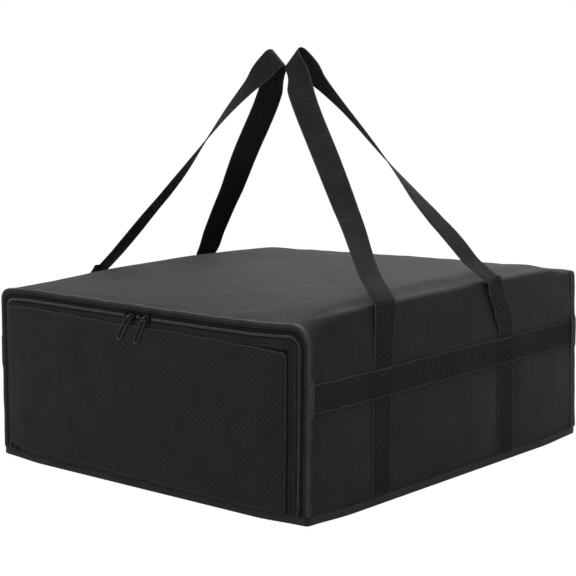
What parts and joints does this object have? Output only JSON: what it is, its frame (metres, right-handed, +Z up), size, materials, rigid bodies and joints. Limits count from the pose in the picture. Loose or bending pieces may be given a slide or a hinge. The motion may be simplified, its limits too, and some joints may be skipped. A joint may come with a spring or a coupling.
{
  "type": "insulated pizza delivery bag",
  "caption": "Square black padded carrier that keeps boxed pizzas hot: zipped drop-down front flap, foil-lined foam walls, stitched webbing and carrying loops held up over the middle",
  "frame": {"origin": "on the ground, under the middle of the whole bag's box, sliders included", "axes": "+Z up; the zipped front flap faces -Y; +X is towards the bag's side that the picture shows"},
  "size_m": [0.6188, 0.619, 0.596],
  "materials": {
    "oxford": "matt woven oxford",
    "binding": "matt woven tape",
    "webbing": "ribbed webbing with a slight sheen",
    "thread": "smooth thread",
    "tape": "matt zip tape",
    "coil": "satin",
    "black_metal": "gloss",
    "foam": "matt closed-cell foam",
    "foil": "bright crinkled film",
    "board": "matt"
  },
  "bodies": {
    "bag_body": {"outer_wrap": "oxford", "foam_wrap": "foam", "lining_wrap": "foil", "outer_back_panel": "oxford", "foam_back": "foam", "lining_back": "foil", "outer_base_panel": "oxford", "foam_base": "foam", "base_board": "board", "lining_base": "foil", "front_rim_binding": "binding", "back_rim_binding": "binding", "base_binding": "binding", "body_zip_tape": "tape", "body_zip_coil": "coil", "zip_stop_left": "black_metal", "zip_stop_right": "black_metal", "side_band_left": "webbing", "side_band_right": "webbing", "strap_front_left": "webbing", "strap_back_left": "webbing", "strap_front_right": "webbing", "strap_back_right": "webbing", "box_stitch_front_left": "thread", "box_stitch_back_left": "thread", "box_stitch_front_right": "thread", "box_stitch_back_right": "thread"},
    "front_flap": {"flap_outer_panel": "oxford", "flap_foam": "foam", "flap_lining": "foil", "flap_zip_tape": "tape", "flap_zip_coil": "coil"},
    "zip_slider_left": {"zip_slider_left": "black_metal"},
    "zip_slider_right": {"zip_slider_right": "black_metal"},
    "zip_pull_left": {"zip_pull_left": "black_metal"},
    "zip_pull_right": {"zip_pull_right": "black_metal"},
    "handle_left": {"handle_left": "webbing"},
    "handle_right": {"handle_right": "webbing"}
  },
  "joints": [
    {"name": "flap_hinge", "type": "hinge", "parent": "bag_body", "child": "front_flap", "pos_m": [0, -0.3021, 0.012], "axis": [1, 0, 0], "range_deg": [0, 90]},
    {"name": "slider_left_slide", "type": "slide", "parent": "front_flap", "child": "zip_slider_left", "axis": [-1, 0, 0], "range_m": [0, 0.25]},
    {"name": "slider_right_slide", "type": "slide", "parent": "front_flap", "child": "zip_slider_right", "axis": [1, 0, 0], "range_m": [0, 0.24]},
    {"name": "pull_left_flip", "type": "hinge", "parent": "zip_slider_left", "child": "zip_pull_left", "pos_m": [-0.008, -0.307, 0.2391], "axis": [-0.7986, 0, 0.6018], "range_deg": [0, 150]},
    {"name": "pull_right_flip", "type": "hinge", "parent": "zip_slider_right", "child": "zip_pull_right", "pos_m": [0.022, -0.307, 0.2391], "axis": [-0.8746, 0, 0.4848], "range_deg": [0, 150]},
    {"name": "handle_left_swing", "type": "hinge", "parent": "bag_body", "child": "handle_left", "pos_m": [-0.3086, 0, 0.18], "axis": [0, -1, 0], "range_deg": [0, 140]},
    {"name": "handle_right_swing", "type": "hinge", "parent": "bag_body", "child": "handle_right", "pos_m": [0.3086, 0, 0.18], "axis": [0, 1, 0], "range_deg": [0, 140]}
  ]
}
